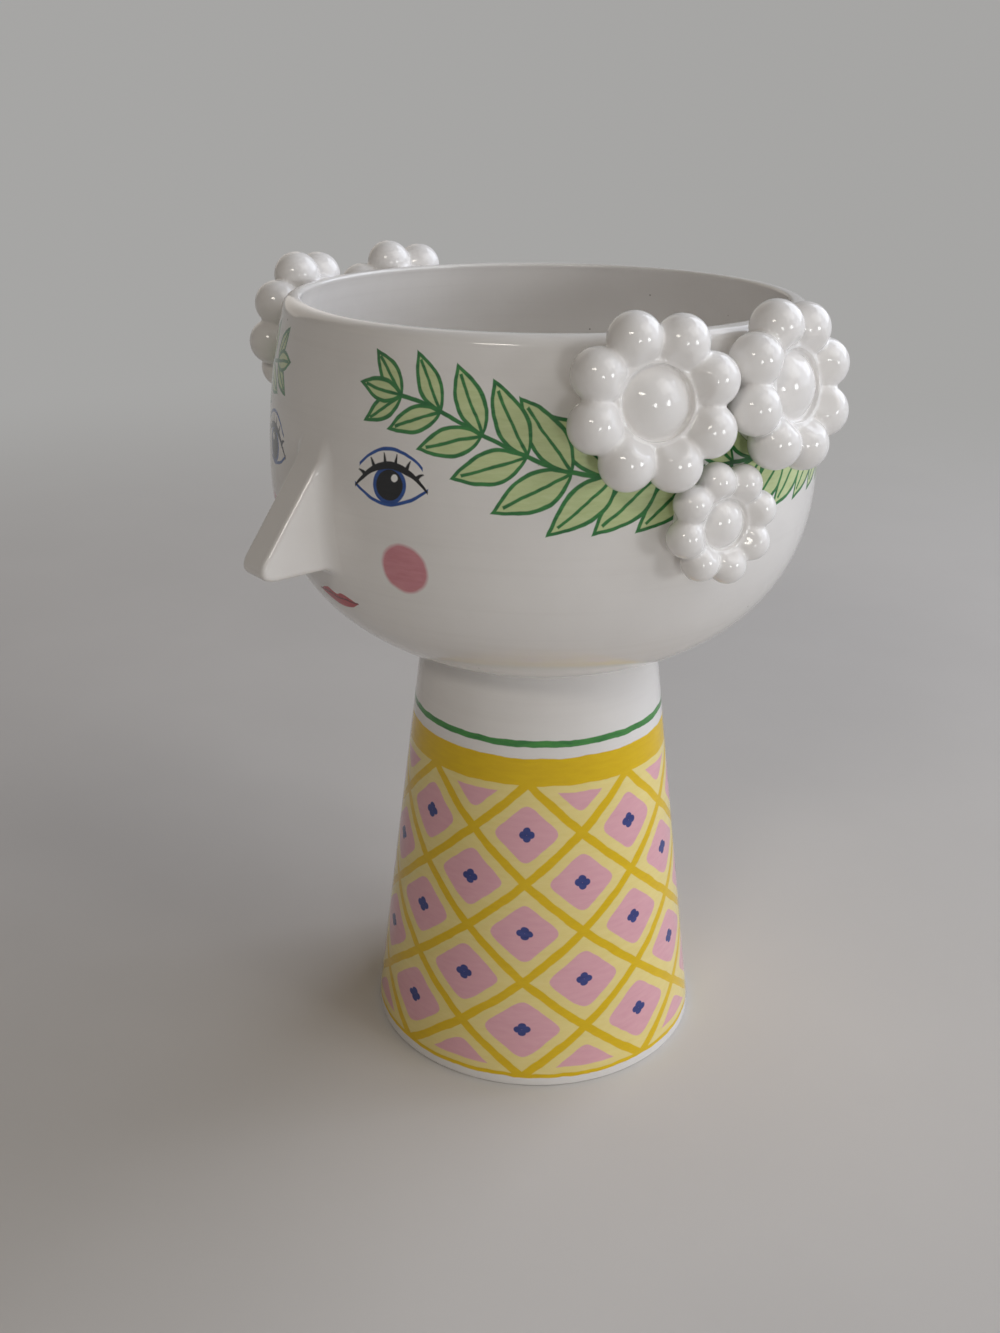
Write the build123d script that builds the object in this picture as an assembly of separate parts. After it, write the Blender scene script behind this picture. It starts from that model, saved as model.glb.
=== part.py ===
from build123d import *
from collections import namedtuple
import math
import os

# A glazed earthenware vase: a wide open bowl shaped as a head, on a tapered hollow pedestal, with a wedge
# nose in front and three ball-petalled flowers beside each ear.
# Lengths are in millimetres and angles in degrees. +Z is up, the face looks towards -Y, +X is the face's
# own left, and the origin is the centre of the foot, on the surface that the vase stands on.

# Pedestal
pedestal_height = 169.0
foot_radius = 68.0
neck_radius = 47.3
pedestal_wall = 5.5
floor_thickness = 7.0
floor_round = 6.0
foot_edge_round = 0.8

# Head bowl, with heights counted from its seat on the pedestal
bowl_height = 136.0
belly_rise = 73.5
belly_radius = 104.2
rim_radius = 96.4
bowl_wall = 6.0
seat_slope = 20.3
lip_outer_round = 4.6
lip_inner_round = 1.2
throat_round = 2.0
belly_fullness_share = 0.637
underside_fullness_share = 0.486
lip_room_share = 0.95

# Nose, with its reach and heights counted from the widest part of the belly
nose_reach = 29.5
nose_root_rise = 19.6
nose_base_drop = 23.2
nose_width = 14.4
nose_tip_round = 5.0
nose_edge_round = 2.6

# Flowers: what one is made of, for the large one and the small one
Flower = namedtuple("Flower", "ring_radius petal_radius petal_stand_off disc_radius disc_edge crest "
                              "crest_width dish_radius dish_depth boss_radius boss_height")
large_flower = Flower(ring_radius=20.4, petal_radius=8.9, petal_stand_off=0.8, disc_radius=19.6, disc_edge=9.0,
                      crest=13.2, crest_width=1.0, dish_radius=12.0, dish_depth=2.0, boss_radius=11.4,
                      boss_height=6.1)
small_flower = Flower(ring_radius=14.7, petal_radius=6.45, petal_stand_off=0.4, disc_radius=14.0, disc_edge=6.5,
                      crest=9.5, crest_width=0.8, dish_radius=8.6, dish_depth=1.4, boss_radius=8.2,
                      boss_height=4.4)
petal_count = 8
petal_slope = 37.0

# Where the flowers sit on the wall: the cluster's azimuth from the nose, the drop of the upper flowers'
# middles below the rim, and each flower's turn about its own axis
cluster_azimuth = 80.9
upper_flower_drop = 20.3
front_flower_spin = -4.7
rear_flower_spin = -8.5
lower_flower_spin = -10.7
lower_flower_lean = 0.6
nest_share = 0.932
lower_nest_share = 0.958

# How far a cutting shape runs past what it cuts
overrun = 5.0

throat_radius = neck_radius - pedestal_wall
belly_height = pedestal_height + belly_rise
rim_height = pedestal_height + bowl_height
side_rise = bowl_height - belly_rise
upper_flower_rise = side_rise - upper_flower_drop


def wall_turn(rise):
    """Lean of the bowl's side above the belly, in degrees from upright, at a rise above the belly."""
    full_turn = 2 * math.atan2(belly_radius - rim_radius, side_rise)
    return math.degrees(math.asin(rise * math.sin(full_turn) / side_rise))


def wall_radius(rise):
    """Outer radius of the bowl at a rise above the belly."""
    return belly_radius - rise * math.tan(math.radians(wall_turn(rise) / 2))


def bowl_core(inset, top):
    """Solid of revolution inside the bowl's outline, moved in by inset, closed at the height top."""
    slope = math.radians(seat_slope)
    belly = Vector(belly_radius - inset, belly_height)
    rim = Vector(rim_radius - inset, rim_height)
    seat = Vector(neck_radius - inset * math.sin(slope), pedestal_height + inset * math.cos(slope))
    reach = underside_fullness_share * (belly_radius - neck_radius)
    below_belly = belly - Vector(0, belly_fullness_share * belly_rise)
    beside_seat = seat + Vector(math.cos(slope), math.sin(slope)) * reach
    side = TangentArc(belly, rim, tangent=(0, 1))
    underside = Bezier(belly, below_belly, beside_seat, seat)
    closing = Polyline(seat, (0, seat.Y), (0, top), (rim.X, top))
    lines = [side, underside, closing]
    if top > rim_height:
        lines.append(Line((rim.X, top), rim))
    return revolve(Plane.XZ * make_face(lines), Axis.Z)


def outer_lip_round():
    """Round of the lip's outer edge, no larger than the wall leaves room for beside the inner round."""
    lean = math.radians(wall_turn(side_rise))
    inner_run = lip_inner_round / math.tan((math.pi / 2 - lean) / 2)
    room = lip_room_share * (bowl_wall - inner_run)
    return min(lip_outer_round, room * math.tan((math.pi / 2 + lean) / 2))


def make_head_bowl():
    """Open bowl of even wall, with a throat through its floor and a rolled lip."""
    throat = Cylinder(throat_radius, bowl_height, align=(Align.CENTER, Align.CENTER, Align.MIN))
    hollow = bowl_core(bowl_wall, rim_height + overrun)
    bowl = bowl_core(0, rim_height) - hollow - Pos(Z=pedestal_height - overrun) * throat
    rims = bowl.edges().filter_by(GeomType.CIRCLE).group_by(Axis.Z)[-1].sort_by(SortBy.RADIUS)
    bowl = fillet(rims[-1], outer_lip_round())
    rims = bowl.edges().filter_by(GeomType.CIRCLE).group_by(Axis.Z)[-1].sort_by(SortBy.RADIUS)
    bowl = fillet(rims[0], lip_inner_round)
    throat_edges = bowl.edges().filter_by(lambda edge: edge.geom_type == GeomType.CIRCLE
                                          and math.isclose(edge.radius, throat_radius, rel_tol=1e-4))
    return fillet(throat_edges.sort_by(Axis.Z)[-1], throat_round)


def make_pedestal():
    """Hollow tapered pedestal with a closed flat base."""
    taper = (foot_radius - neck_radius) / pedestal_height
    floor_radius = foot_radius - pedestal_wall - taper * floor_thickness
    outline = Polyline((0, 0), (foot_radius, 0), (neck_radius, pedestal_height),
                       (throat_radius, pedestal_height), (floor_radius, floor_thickness),
                       (0, floor_thickness), close=True)
    section = make_face(outline)
    foot_corner = section.vertices().group_by(Axis.Y)[0].sort_by(Axis.X)[-1]
    floor_corner = section.vertices().group_by(Axis.Y)[1].sort_by(Axis.X)[-1]
    section = fillet(foot_corner, foot_edge_round)
    floor_corner = section.vertices().sort_by_distance(floor_corner)[0]
    section = fillet(floor_corner, floor_round)
    return revolve(Plane.XZ * section, Axis.Z)


def make_nose(bowl_body):
    """Wedge with a flat underside and a rounded tip, its back fitted to the bowl's wall."""
    root = Vector(wall_radius(nose_root_rise), belly_height + nose_root_rise)
    tip = Vector(belly_radius + nose_reach, belly_height - nose_base_drop)
    inner = root + (root - tip).normalized() * bowl_wall
    outline = Polyline(inner, tip, (inner.X, tip.Y), close=True)
    side_view = Plane(origin=(0, 0, 0), x_dir=(0, -1, 0), z_dir=(-1, 0, 0))
    section = make_face(outline)
    section = fillet(section.vertices().sort_by(Axis.X)[-1], nose_tip_round)
    wedge = extrude(side_view * section, nose_width / 2, both=True)
    flanks = wedge.faces().filter_by(Axis.X)
    long_edges = [edge for flank in flanks for edge in flank.edges()]
    back = wedge.faces().filter_by(Axis.Y).sort_by(Axis.Y)[-1]
    long_edges = [edge for edge in long_edges if edge not in back.edges()]
    return fillet(long_edges, nose_edge_round) - bowl_body


def flower_seat(azimuth, rise):
    """Plane that touches the bowl's wall at an azimuth from the nose and a rise above the belly."""
    turn = math.radians(wall_turn(rise))
    way = math.radians(azimuth)
    outward = Vector(math.sin(way), -math.cos(way), 0)
    across = Vector(math.cos(way), math.sin(way), 0)
    origin = outward * wall_radius(rise) + Vector(0, 0, belly_height + rise)
    normal = outward * math.cos(turn) + Vector(0, 0, math.sin(turn))
    return Plane(origin=origin, x_dir=across, z_dir=normal)


def flower_disc(size):
    """Dished disc on the flower's own axis, deep enough to be fitted to the wall behind it."""
    depth = size.disc_radius
    crest_radius = size.dish_radius + size.crest_width
    dish_floor = size.crest - size.dish_depth
    outline = Polyline((0, -depth), (size.disc_radius, -depth), (size.disc_radius, size.disc_edge),
                       (crest_radius, size.crest), (size.dish_radius, size.crest),
                       (size.dish_radius, dish_floor), (0, dish_floor), close=True)
    return revolve(Plane.XZ * make_face(outline), Axis.Z)


def flower_roof(size):
    """Solid of revolution under the crest and under the slope that rises from it to the petals' crowns."""
    reach = size.ring_radius + size.petal_radius + overrun
    crest_radius = size.dish_radius + size.crest_width
    brow = size.crest + (reach - crest_radius) * math.tan(math.radians(petal_slope))
    outline = Polyline((0, -reach), (reach, -reach), (reach, brow), (crest_radius, size.crest),
                       (0, size.crest), close=True)
    return revolve(Plane.XZ * make_face(outline), Axis.Z)


def flower_petals(size, disc, spin):
    """Balls pressed round the disc's edge, each kept to its own sector and sloping down to the crest."""
    sector = 360 / petal_count
    lift = size.petal_stand_off + size.petal_radius
    reach = size.ring_radius + size.petal_radius + overrun
    corner = Vector(reach, reach * math.tan(math.radians(sector / 2)))
    wedge_face = make_face(Polyline((0, 0), (corner.X, -corner.Y), (corner.X, corner.Y), close=True))
    wedge = extrude(wedge_face, reach, both=True)
    ball = Pos(X=size.ring_radius, Z=lift) * Sphere(size.petal_radius)
    petal = ((ball & wedge & flower_roof(size)) - disc).solids().sort_by(SortBy.VOLUME)[-1]
    turns = [spin + sector * (step + 1 / 2) for step in range(petal_count)]
    return [Rot(Z=turn) * petal for turn in turns]


def flower_boss(size):
    """Low dome that sits in the disc's dish."""
    dome_radius = (size.boss_radius ** 2 + size.boss_height ** 2) / (2 * size.boss_height)
    dish_floor = size.crest - size.dish_depth
    ball = Pos(Z=dish_floor + size.boss_height - dome_radius) * Sphere(dome_radius)
    return split(ball, bisect_by=Plane.XY.offset(dish_floor), keep=Keep.TOP)


def make_flower(size, azimuth, rise, spin, bowl_body):
    """Disc, petals and boss of one flower, in place on the wall."""
    place = flower_seat(azimuth, rise).location
    disc = flower_disc(size)
    petals = [place * petal for petal in flower_petals(size, disc, spin)]
    fitted = (place * disc - bowl_body).solids().sort_by(SortBy.VOLUME)[-1]
    return {"disc": fitted, "petals": Compound(children=petals), "boss": place * flower_boss(size)}


def half_spread():
    """Angle from the cluster's middle to each upper flower, so that their petals nest."""
    outer_radius = large_flower.ring_radius + large_flower.petal_radius
    lift = large_flower.petal_stand_off + large_flower.petal_radius
    return math.degrees(math.asin(nest_share * outer_radius / (wall_radius(upper_flower_rise) + lift)))


def lower_flower_drop():
    """Drop from the upper flowers to the lower one, so that its petals nest between theirs."""
    large_outer = large_flower.ring_radius + large_flower.petal_radius
    small_outer = small_flower.ring_radius + small_flower.petal_radius
    return math.sqrt((lower_nest_share * (large_outer + small_outer)) ** 2 - (nest_share * large_outer) ** 2)


def make_parts():
    """Every piece of the vase by name."""
    bowl_body = bowl_core(0, rim_height)
    parts = {"pedestal": make_pedestal(), "head_bowl": make_head_bowl(), "nose": make_nose(bowl_body)}
    spread = half_spread()
    lower_rise = upper_flower_rise - lower_flower_drop()
    places = {"front": (large_flower, cluster_azimuth - spread, upper_flower_rise, front_flower_spin),
              "rear": (large_flower, cluster_azimuth + spread, upper_flower_rise, rear_flower_spin),
              "lower": (small_flower, cluster_azimuth - lower_flower_lean, lower_rise, lower_flower_spin)}
    for place, (size, azimuth, rise, spin) in places.items():
        for piece, shape in make_flower(size, azimuth, rise, spin, bowl_body).items():
            parts[f"left_{place}_flower_{piece}"] = shape
            parts[f"right_{place}_flower_{piece}"] = mirror(shape, about=Plane.YZ)
    return parts


os.makedirs("parts", exist_ok=True)
for name, shape in make_parts().items():
    export_step(shape, f"parts/{name}.step")
    print(name, len(shape.solids()), "solids", round(shape.volume), "mm3")
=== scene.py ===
import math
import random

import bmesh
import bpy
import numpy as np
from mathutils import Matrix, Vector
from mathutils.geometry import interpolate_bezier


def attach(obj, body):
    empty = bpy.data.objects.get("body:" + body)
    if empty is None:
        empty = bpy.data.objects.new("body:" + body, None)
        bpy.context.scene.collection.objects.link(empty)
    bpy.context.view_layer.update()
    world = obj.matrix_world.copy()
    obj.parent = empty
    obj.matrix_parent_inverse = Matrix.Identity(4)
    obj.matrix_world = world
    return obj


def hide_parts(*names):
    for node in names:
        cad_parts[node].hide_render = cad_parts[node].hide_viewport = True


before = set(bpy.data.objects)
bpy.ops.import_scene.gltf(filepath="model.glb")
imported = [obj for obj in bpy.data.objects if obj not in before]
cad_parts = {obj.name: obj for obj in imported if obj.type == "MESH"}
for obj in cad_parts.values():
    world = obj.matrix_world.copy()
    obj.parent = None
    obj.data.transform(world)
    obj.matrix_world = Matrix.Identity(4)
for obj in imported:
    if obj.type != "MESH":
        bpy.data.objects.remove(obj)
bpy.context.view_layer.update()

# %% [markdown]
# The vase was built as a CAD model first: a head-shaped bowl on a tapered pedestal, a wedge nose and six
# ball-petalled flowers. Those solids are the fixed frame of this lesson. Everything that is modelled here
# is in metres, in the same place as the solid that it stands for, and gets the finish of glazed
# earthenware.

# %% [markdown]
# The camera stands where the photograph was taken from: a little above the rim, looking down on the vase,
# with the nose towards the left. A focal length in pixels turns into millimetres of a 36 mm sensor whose
# long side is the picture's height. The shift is the small step from the lens's axis to the picture's
# centre.

# %% Camera
PICTURE_WIDTH, PICTURE_HEIGHT = 1000, 1333
SENSOR = 36.0
focal_pixels = 1408.7
axis_pixel = (500.0, 587.2)
camera_azimuth = math.radians(48.5)
camera_reach = 0.5325
camera_height = 0.3784
pitch, yaw, roll = math.radians(19.69), math.radians(-1.715), math.radians(0.409)

turn = Matrix.Rotation(camera_azimuth, 3, "Z")
ahead = turn @ Vector((math.sin(yaw) * math.cos(pitch), math.cos(yaw) * math.cos(pitch), -math.sin(pitch)))
level_way = turn @ Vector((math.cos(yaw), -math.sin(yaw), 0))
upright = level_way.cross(ahead)
side = math.cos(roll) * level_way + math.sin(roll) * upright
top = math.cos(roll) * upright - math.sin(roll) * level_way

camera = bpy.data.objects.new("camera", bpy.data.cameras.new("camera"))
camera.data.sensor_width = SENSOR
camera.data.lens = focal_pixels * SENSOR / PICTURE_HEIGHT
camera.data.shift_x = (PICTURE_WIDTH / 2 - axis_pixel[0]) / PICTURE_HEIGHT
camera.data.shift_y = (axis_pixel[1] - PICTURE_HEIGHT / 2) / PICTURE_HEIGHT
camera.data.clip_start = 0.01
place = turn @ Vector((0, -camera_reach, camera_height))
camera.matrix_world = Matrix.Translation(place) @ Matrix((side, top, -ahead)).transposed().to_4x4()
bpy.context.scene.collection.objects.link(camera)
bpy.context.scene.camera = camera
print("lens", round(camera.data.lens, 2), "mm, shift", round(camera.data.shift_y, 4))

# %% [markdown]
# Colours are written as sRGB hex values, as a colour picker shows them, and one function turns them to the
# linear values that the shader works in. One more function adds a node: it takes the node's kind, what
# goes into its sockets in their order, its settings, and which output to hand back. A Mix node has sockets
# for every kind of value, so those of its two colours and of their mix are named here once.

# %% Colour and node helpers
UNDER, OVER = 6, 7
AS_COLOUR = {"data_type": "RGBA", "out": 2}


def linear(hex_colour):
    """Linear RGBA of an sRGB hex colour."""
    parts = [int(hex_colour[place:place + 2], 16) / 255 for place in (1, 3, 5)]
    return [part / 12.92 if part <= 0.04045 else ((part + 0.055) / 1.055) ** 2.4 for part in parts] + [1.0]


def add(tree, kind, *values, out=0, named=None, **settings):
    """Adds a node, sets it up, feeds its sockets and returns one of its outputs.

    kind is the node's type, and for a maths node its operation too, as in "Math ADD".
    """
    kind, _, operation = kind.partition(" ")
    node = tree.nodes.new("ShaderNode" + kind)
    if operation:
        node.operation = operation
    for name, value in settings.items():
        setattr(node, name, value)
    fed = dict(enumerate(values))
    fed.update(named or {})
    for socket, value in fed.items():
        if isinstance(value, bpy.types.NodeSocket):
            tree.links.new(value, node.inputs[socket])
        elif value is not None:
            node.inputs[socket].default_value = value
    return node.outputs[out] if node.outputs else node


print("mid grey is", [round(part, 3) for part in linear("#808080")])

# %% [markdown]
# The vase stands on a plain pale paper floor. A floor that ends shows an edge, so this one is a very wide
# disc that runs out, well away from the vase, to the same even tone as the surrounding. Light Path gives
# that tone only to rays that see it: for light on its way to the vase, and for the shadow near it, the
# floor stays paper, with some nine faint clouds to a metre.

# %% Floor
FLOOR_RADIUS, SHADOW_REACH, EVEN_REACH = 12.0, 0.45, 1.4
PAPER_DARK, PAPER_LIGHT, PAPER_CLOUDS = linear("#CFCCC8"), linear("#D6D3CF"), 9.0
BACKDROP, BACKDROP_LEVEL = linear("#E9E8E6"), 0.47


def new_piece(name, mesh_maker):
    """Object at the origin whose mesh is filled by mesh_maker from an empty bmesh."""
    mesh = bpy.data.meshes.new(name)
    shape = bmesh.new()
    mesh_maker(shape)
    shape.to_mesh(mesh)
    shape.free()
    piece = bpy.data.objects.new(name, mesh)
    bpy.context.scene.collection.objects.link(piece)
    return piece


def seen(tree):
    """1 for a ray from the camera, off gloss or through glass, 0 for light on its way to the vase."""
    rays = add(tree, "LightPath").node.outputs
    gloss = add(tree, "Math MAXIMUM", rays["Is Glossy Ray"], rays["Is Transmission Ray"])
    return add(tree, "Math MAXIMUM", rays["Is Camera Ray"], gloss)


def fill_floor(shape):
    """One wide round sheet."""
    bmesh.ops.create_circle(shape, cap_ends=True, radius=FLOOR_RADIUS, segments=128)


floor = new_piece("paper_floor", fill_floor)

paper = bpy.data.materials.new("pale_paper")
paper.use_nodes = True
sheet = paper.node_tree
sheet.nodes.clear()
place = add(sheet, "TexCoord", out="Object")
grain = add(sheet, "TexNoise", place, None, PAPER_CLOUDS, 4.0)
tint = add(sheet, "Mix", grain, named={UNDER: PAPER_DARK, OVER: PAPER_LIGHT}, **AS_COLOUR)
near = add(sheet, "BsdfDiffuse", tint)
far = add(sheet, "Emission", BACKDROP, BACKDROP_LEVEL)
reach = add(sheet, "VectorMath LENGTH", place, out="Value")
fade = add(sheet, "MapRange", reach, SHADOW_REACH, EVEN_REACH, 0.0, 1.0, interpolation_type="SMOOTHSTEP")
fade = add(sheet, "Math MULTIPLY", fade, seen(sheet))
add(sheet, "OutputMaterial", add(sheet, "MixShader", fade, near, far))
floor.data.materials.append(paper)
print("floor", [round(v, 2) for v in floor.dimensions])

# %% [markdown]
# The light is a plain studio. Large cool windows on the right, beside and behind the vase, model its round
# forms, with a soft lamp high on the right. A weak warm sheet on the left and another behind it light the
# side that the camera doesn't see. Three softboxes in front are small and bright, so glossy glaze shows
# each of them as a crisp spot on every ball of the flowers.

# %% Lights
LAMP_TARGET = Vector((0, 0, 0.2))


def add_pane(name, bearing, elevation, reach, width, height, power, colour, shape="RECTANGLE"):
    """Flat lamp at a bearing to the right of the camera, aimed at the vase; metres, degrees and watts."""
    angle = camera_azimuth + math.radians(bearing)
    flat = math.cos(math.radians(elevation)) * reach
    data = bpy.data.lights.new(name, "AREA")
    data.shape, data.size, data.size_y = shape, width, height
    data.energy, data.color = power, linear(colour)[:3]
    pane = bpy.data.objects.new(name, data)
    pane.location = LAMP_TARGET + Vector((flat * math.sin(angle), -flat * math.cos(angle),
                                          reach * math.sin(math.radians(elevation))))
    pane.rotation_euler = (LAMP_TARGET - pane.location).to_track_quat("-Z", "Y").to_euler()
    bpy.context.scene.collection.objects.link(pane)
    print(name, [round(v, 2) for v in pane.location])


add_pane("window_right", 88, 27, 2.5, 1.9, 2.2, 17, "#EAF1FF")
add_pane("window_back", 125, 32, 2.6, 1.9, 2.0, 31, "#EEF3FF")
add_pane("lamp_high", 62, 46, 2.4, 1.5, 1.5, 11, "#FFFCF8")
add_pane("sheet_left", -75, 30, 2.6, 2.0, 2.0, 1.3, "#FFDFC0")
add_pane("sheet_far_side", -150, 26, 2.6, 2.0, 2.0, 6, "#FFF3E6")
add_pane("softbox_left", -20, 34, 2.0, 0.6, 0.24, 4.6, "#FFF8EE", "ELLIPSE")
add_pane("softbox_near_lens", 18, 4.5, 2.0, 0.36, 0.38, 3.3, "#FFFFFF", "ELLIPSE")
add_pane("softbox_right", 55, 7, 2.0, 0.46, 0.46, 5.4, "#FBFCFF", "ELLIPSE")

# %% [markdown]
# The surrounding is one dim, slightly warm tone, so no shadow falls to black. Rays that see it get the
# tone that the floor runs out to.

# %% Surrounding
WORLD_TONE, WORLD_LEVEL = linear("#F3E4D2"), 0.045
world = bpy.data.worlds.new("studio")
world.use_nodes = True
sky = world.node_tree
sky.nodes.clear()
rays = seen(sky)
tone = add(sky, "Mix", rays, named={UNDER: WORLD_TONE, OVER: BACKDROP}, **AS_COLOUR)
level = add(sky, "Math MULTIPLY_ADD", rays, BACKDROP_LEVEL - WORLD_LEVEL, WORLD_LEVEL)
add(sky, "OutputWorld", add(sky, "Background", tone, level))
bpy.context.scene.world = world
bpy.context.scene.view_settings.view_transform = "Standard"
print("surrounding at", WORLD_LEVEL)

# %% [markdown]
# The bowl and the pedestal were thrown or cast as bodies of revolution, so both are spun from half an
# outline, with the same sizes as the solids: the bowl swells on one Bezier curve from its seat to its
# belly and leans in on one long arc to its lip. A closed outline gives a closed wall with real thickness.

# %% Sizes of the turned bodies, in millimetres
MM, METRE = 0.001, 1000.0
pedestal_height, foot_radius, neck_radius = 169.0, 68.0, 47.3
pedestal_wall, floor_thickness, floor_round, foot_edge_round = 5.5, 7.0, 6.0, 0.8
bowl_height, belly_rise, belly_radius, rim_radius, bowl_wall = 136.0, 73.5, 104.2, 96.4, 6.0
seat_slope = math.radians(20.3)
lip_outer_round, lip_inner_round, throat_round = 4.6, 1.2, 2.0
belly_share, underside_share = 0.637, 0.486
belly_height = pedestal_height + belly_rise
rim_height = pedestal_height + bowl_height
side_rise = bowl_height - belly_rise
throat_radius = neck_radius - pedestal_wall
full_turn = 2 * math.atan2(belly_radius - rim_radius, side_rise)
print("belly at", belly_height, "mm, rim at", rim_height, "mm")

# %% [markdown]
# An outline is a list of points, each with its radius and its height. Small functions give a round's arc
# and the bowl's side, and the last one spins an outline. Edges sharper than 40 degrees stay crisp.

# %% Outlines and turning
TURN_STEPS, FLANK_STEPS, SHARP_EDGE = 256, 28, math.radians(40)


def outline_arc(centre, radius, start, end, steps):
    """Points of an arc in a plane, with its angles in degrees."""
    angles = [math.radians(start + (end - start) * step / steps) for step in range(steps + 1)]
    return [(centre[0] + radius * math.cos(angle), centre[1] + radius * math.sin(angle))
            for angle in angles]


def wall_turn(rise):
    """Lean of the bowl's side at a rise above the belly, in radians."""
    return math.asin(rise * math.sin(full_turn) / side_rise)


def wall_radius(rise):
    """Outer radius of the bowl at a rise above the belly."""
    return belly_radius - rise * math.tan(wall_turn(rise) / 2)


def bowl_flank(inset, top_rise, steps=FLANK_STEPS):
    """Bowl's outline from its seat up to a rise above the belly, moved in by inset."""
    belly = Vector((belly_radius - inset, belly_height))
    seat = Vector((neck_radius - inset * math.sin(seat_slope),
                   pedestal_height + inset * math.cos(seat_slope)))
    reach = underside_share * (belly_radius - neck_radius)
    below = belly - Vector((0, belly_share * belly_rise))
    beside = seat + reach * Vector((math.cos(seat_slope), math.sin(seat_slope)))
    lower = interpolate_bezier(seat, beside, below, belly, steps + 1)
    upper = [(wall_radius(top_rise * step / steps) - inset, belly_height + top_rise * step / steps)
             for step in range(1, steps + 1)]
    return [tuple(point)[:2] for point in lower] + upper


def turned(name, outline):
    """Closed body of revolution from half an outline in millimetres."""
    def fill(shape):
        verts = [shape.verts.new((radius * MM, 0, up * MM)) for radius, up in outline]
        edges = [shape.edges.new(pair) for pair in zip(verts, verts[1:])]
        if outline[0][0] > 0:
            edges.append(shape.edges.new((verts[-1], verts[0])))
        bmesh.ops.spin(shape, geom=verts + edges, cent=(0, 0, 0), axis=(0, 0, 1), angle=math.tau,
                       steps=TURN_STEPS, use_merge=True, use_duplicate=False)
        bmesh.ops.remove_doubles(shape, verts=shape.verts, dist=1e-6)
        bmesh.ops.recalc_face_normals(shape, faces=shape.faces)
        for face in shape.faces:
            face.smooth = True
    piece = new_piece(name, fill)
    piece.data.set_sharp_from_angle(angle=SHARP_EDGE)
    print(name, len(piece.data.polygons), "faces")
    return piece


print("the side leans in by", round(math.degrees(wall_turn(side_rise)), 1), "degrees")

# %% [markdown]
# The head is one open bowl. Its lip is rolled: the outer edge has a generous round and the inner one a
# small one, because a wet sponge runs round the rim before firing. A round throat opens into the pedestal.

# %% Head bowl
lip_rise, straight_below_lip = side_rise - lip_outer_round, 1.0
lip_outer = outline_arc((wall_radius(lip_rise) - lip_outer_round, rim_height - lip_outer_round),
                        lip_outer_round, math.degrees(wall_turn(lip_rise)), 90, steps=10)
inner_top = rim_radius - bowl_wall
lip_inner = outline_arc((inner_top + lip_inner_round, rim_height - lip_inner_round),
                        lip_inner_round, 90, 180, steps=5)
outside = bowl_flank(0, lip_rise)
inside = bowl_flank(bowl_wall, side_rise - lip_inner_round - straight_below_lip)[::-1]
inner_floor = inside[-1][1]
throat_edge = outline_arc((throat_radius + throat_round, inner_floor - throat_round),
                          throat_round, 90, 180, steps=6)
head = turned("head_bowl_glazed",
              outside + lip_outer + lip_inner + inside + throat_edge + [(throat_radius, pedestal_height)])
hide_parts("head_bowl")
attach(head, "root")

# %% [markdown]
# The pedestal is a straight taper. Glaze rounds its foot a little, and inside it has a rounded floor.

# %% Pedestal
TAPER_STEPS = 24
taper = (foot_radius - neck_radius) / pedestal_height
inner_floor_radius = foot_radius - pedestal_wall - taper * (floor_thickness + floor_round)
foot_edge = outline_arc((foot_radius - foot_edge_round, foot_edge_round), foot_edge_round, -90, 0, steps=6)
floor_edge = outline_arc((inner_floor_radius - floor_round, floor_thickness + floor_round),
                         floor_round, 0, -90, steps=8)
heights = [foot_edge_round + pedestal_height * step / TAPER_STEPS for step in range(1, TAPER_STEPS)]
outer_taper = [(foot_radius - taper * height, height) for height in heights]
top_ring = [(neck_radius, pedestal_height), (throat_radius, pedestal_height)]
pedestal = turned("pedestal_glazed",
                  [(0, 0)] + foot_edge + outer_taper + top_ring + floor_edge + [(0, floor_thickness)])
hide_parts("pedestal")
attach(pedestal, "root")

# %% [markdown]
# The flowers are clay: balls pressed onto a dished disc with a low dome in the middle. Under a thick glaze
# the joints run together into soft valleys. A voxel remesh makes one skin of the overlapping shapes, and
# smoothing its vertices rounds the valleys the way glaze fills them.

# %% Skin of several shapes
HOLLOW_PULL, CROWN_PULL = 0.6, 0.04


def one_skin(name, mesh_maker, voxel, smooth_steps, fill_steps=0, crisp_radius=0.0):
    """Piece whose overlapping shapes are remeshed to one closed skin, softened and filled with glaze.

    Within crisp_radius of the piece's own axis only the first half of the softening is done.
    """
    rough = new_piece(name + "_rough", mesh_maker)
    remesh = rough.modifiers.new("skin", "REMESH")
    remesh.mode, remesh.voxel_size, remesh.use_smooth_shade = "VOXEL", voxel, True
    graph = bpy.context.evaluated_depsgraph_get()
    mesh = bpy.data.meshes.new_from_object(rough.evaluated_get(graph))
    bpy.data.objects.remove(rough)
    fill_valleys(mesh, fill_steps, crisp_radius)
    shape = bmesh.new()
    shape.from_mesh(mesh)
    outside = [vert for vert in shape.verts if vert.co.xy.length > crisp_radius]
    for step in range(smooth_steps):
        chosen = shape.verts if step < smooth_steps / 2 else outside
        bmesh.ops.smooth_vert(shape, verts=chosen, factor=0.5, use_axis_x=True, use_axis_y=True,
                              use_axis_z=True)
    shape.to_mesh(mesh)
    shape.free()
    mesh.name = name
    piece = bpy.data.objects.new(name, mesh)
    bpy.context.scene.collection.objects.link(piece)
    return piece


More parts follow.
